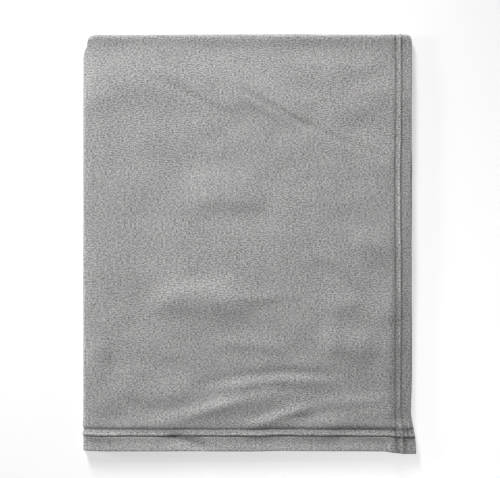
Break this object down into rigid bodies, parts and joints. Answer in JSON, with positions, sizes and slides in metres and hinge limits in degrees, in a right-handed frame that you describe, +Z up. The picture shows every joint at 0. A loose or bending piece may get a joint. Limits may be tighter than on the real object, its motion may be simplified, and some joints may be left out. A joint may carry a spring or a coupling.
{
  "type": "folded throw blanket",
  "caption": "Heather grey fleece throw with double-stitched hems, folded in quarters and lying flat; its upper half opens over the top fold.",
  "frame": {"origin": "on the surface the throw lies on, under the middle of the folded throw", "axes": "+Z up, +Y towards the top fold, +X towards the side hem, so the side fold is at -X and the end hem at -Y"},
  "size_m": [0.6, 0.76, 0.0207],
  "materials": {
    "fleece": "brushed heather jersey, matt",
    "thread": "spun polyester thread",
    "label": "blank woven satin"
  },
  "bodies": {
    "lower_half": {"bottom_panel": "fleece", "lower_inner_panel": "fleece", "lower_side_fold": "fleece", "lower_end_hem": "fleece", "bottom_side_hem": "fleece", "lower_inner_side_hem": "fleece", "lower_end_needle_thread_inner": "thread", "lower_end_needle_thread_outer": "thread", "lower_end_looper_thread": "thread", "bottom_side_needle_thread_inner": "thread", "bottom_side_needle_thread_outer": "thread", "bottom_side_looper_thread": "thread", "lower_inner_side_needle_thread_inner": "thread", "lower_inner_side_needle_thread_outer": "thread", "lower_inner_side_looper_thread": "thread", "outer_fold_roll": "fleece", "inner_fold_roll": "fleece", "corner_fold_roll": "fleece", "outer_roll_side_hem": "fleece", "inner_roll_side_hem": "fleece", "outer_roll_side_needle_thread_inner": "thread", "outer_roll_side_needle_thread_outer": "thread", "outer_roll_side_looper_thread": "thread", "inner_roll_side_needle_thread_inner": "thread", "inner_roll_side_needle_thread_outer": "thread", "inner_roll_side_looper_thread": "thread"},
    "upper_half": {"top_panel": "fleece", "upper_inner_panel": "fleece", "upper_side_fold": "fleece", "upper_end_hem": "fleece", "top_side_hem": "fleece", "upper_inner_side_hem": "fleece", "upper_end_needle_thread_inner": "thread", "upper_end_needle_thread_outer": "thread", "upper_end_looper_thread": "thread", "top_side_needle_thread_inner": "thread", "top_side_needle_thread_outer": "thread", "top_side_looper_thread": "thread", "upper_inner_side_needle_thread_inner": "thread", "upper_inner_side_needle_thread_outer": "thread", "upper_inner_side_looper_thread": "thread", "care_label": "label"}
  },
  "joints": [
    {"name": "top_fold_opening", "type": "hinge", "parent": "lower_half", "child": "upper_half", "pos_m": [0, 0.38, 0.01035], "axis": [-1, 0, 0], "range_deg": [0, 180], "deforming": ["outer_fold_roll", "inner_fold_roll", "corner_fold_roll", "outer_roll_side_hem", "inner_roll_side_hem", "outer_roll_side_needle_thread_inner", "outer_roll_side_needle_thread_outer", "outer_roll_side_looper_thread", "inner_roll_side_needle_thread_inner", "inner_roll_side_needle_thread_outer", "inner_roll_side_looper_thread"]}
  ]
}
